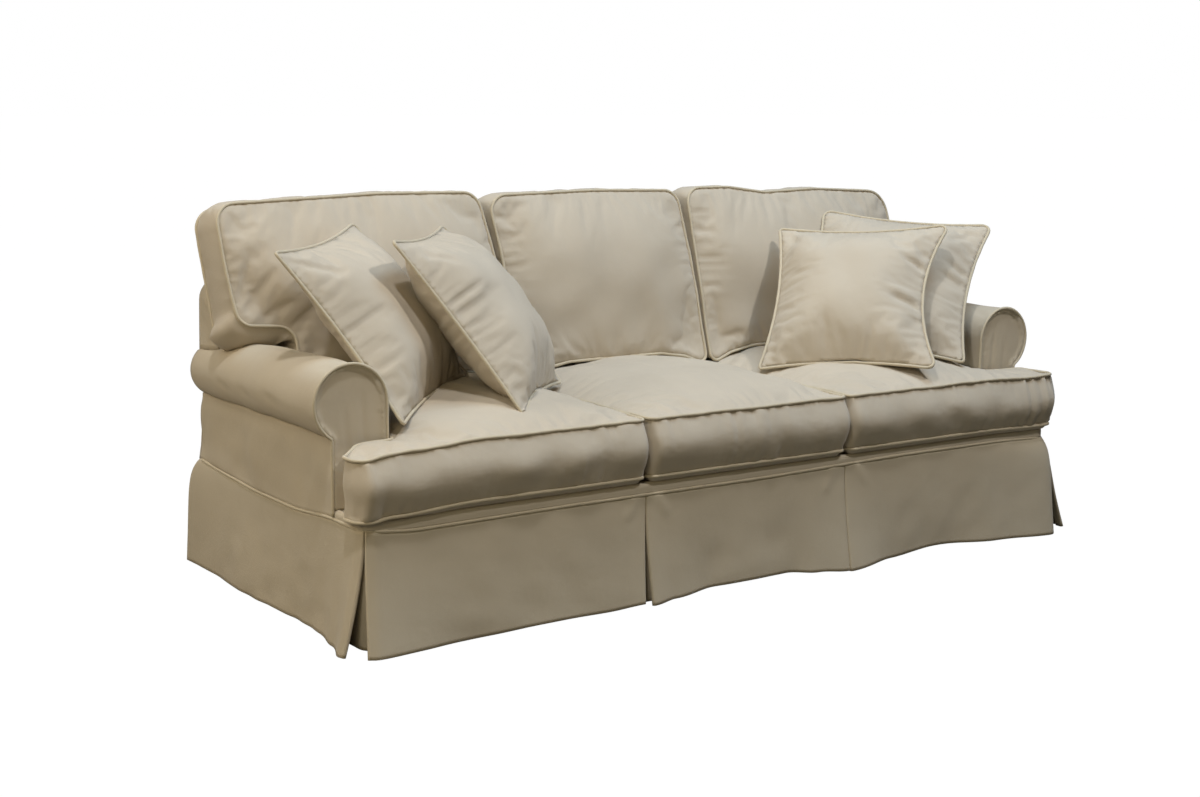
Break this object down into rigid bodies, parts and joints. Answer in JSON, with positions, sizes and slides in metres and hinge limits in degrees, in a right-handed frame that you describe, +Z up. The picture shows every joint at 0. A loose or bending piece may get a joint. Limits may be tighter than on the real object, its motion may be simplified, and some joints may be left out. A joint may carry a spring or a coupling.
{
  "type": "skirted sofa slipcover with rolled arms, and its loose cushions",
  "caption": "Skirted slipcover in plain canvas for a rolled-arm sofa, hollow and open below, with its seat, back and scatter cushions.",
  "frame": {"origin": "middle of the underside of the back's top edge, where the back of the sofa carries the cover", "axes": "+Z up, +X towards the right arm as seen from the front, -Y towards the front of the seat"},
  "size_m": [2.2198, 1.0012, 0.9419],
  "materials": {
    "cover canvas": "smooth brushed cotton canvas",
    "skirt canvas": "smooth brushed cotton canvas",
    "cushion canvas": "smooth brushed cotton canvas",
    "piping": "the same canvas, sewn round a cord"
  },
  "bodies": {
    "root": {"arm_cover_left": "cover canvas", "arm_cover_right": "cover canvas", "arm_front_left": "cover canvas", "arm_front_right": "cover canvas", "back_border": "cover canvas", "back_cushion_centre": "cushion canvas", "back_cushion_left": "cushion canvas", "back_cushion_right": "cushion canvas", "deck": "cover canvas", "front_border": "cover canvas", "inside_back": "cover canvas", "outside_arm_left": "cover canvas", "outside_arm_right": "cover canvas", "outside_back": "cover canvas", "piping_arm_left": "piping", "piping_arm_right": "piping", "piping_back_centre_front": "piping", "piping_back_centre_rear": "piping", "piping_back_left_front": "piping", "piping_back_left_rear": "piping", "piping_back_right_front": "piping", "piping_back_right_rear": "piping", "piping_scatter_left_back": "piping", "piping_scatter_left_front": "piping", "piping_scatter_right_back": "piping", "piping_scatter_right_front": "piping", "piping_seat_centre_bottom": "piping", "piping_seat_centre_top": "piping", "piping_seat_left_bottom": "piping", "piping_seat_left_top": "piping", "piping_seat_right_bottom": "piping", "piping_seat_right_top": "piping", "piping_skirt": "piping", "scatter_left_back": "cushion canvas", "scatter_left_front": "cushion canvas", "scatter_right_back": "cushion canvas", "scatter_right_front": "cushion canvas", "seat_cushion_centre": "cushion canvas", "seat_cushion_left": "cushion canvas", "seat_cushion_right": "cushion canvas", "skirt_back": "skirt canvas", "skirt_front_centre": "skirt canvas", "skirt_front_left": "skirt canvas", "skirt_front_right": "skirt canvas", "skirt_side_left": "skirt canvas", "skirt_side_right": "skirt canvas", "underlay_back_left_corner": "skirt canvas", "underlay_back_right_corner": "skirt canvas", "underlay_front_left": "skirt canvas", "underlay_front_left_corner": "skirt canvas", "underlay_front_right": "skirt canvas", "underlay_front_right_corner": "skirt canvas"}
  },
  "joints": []
}
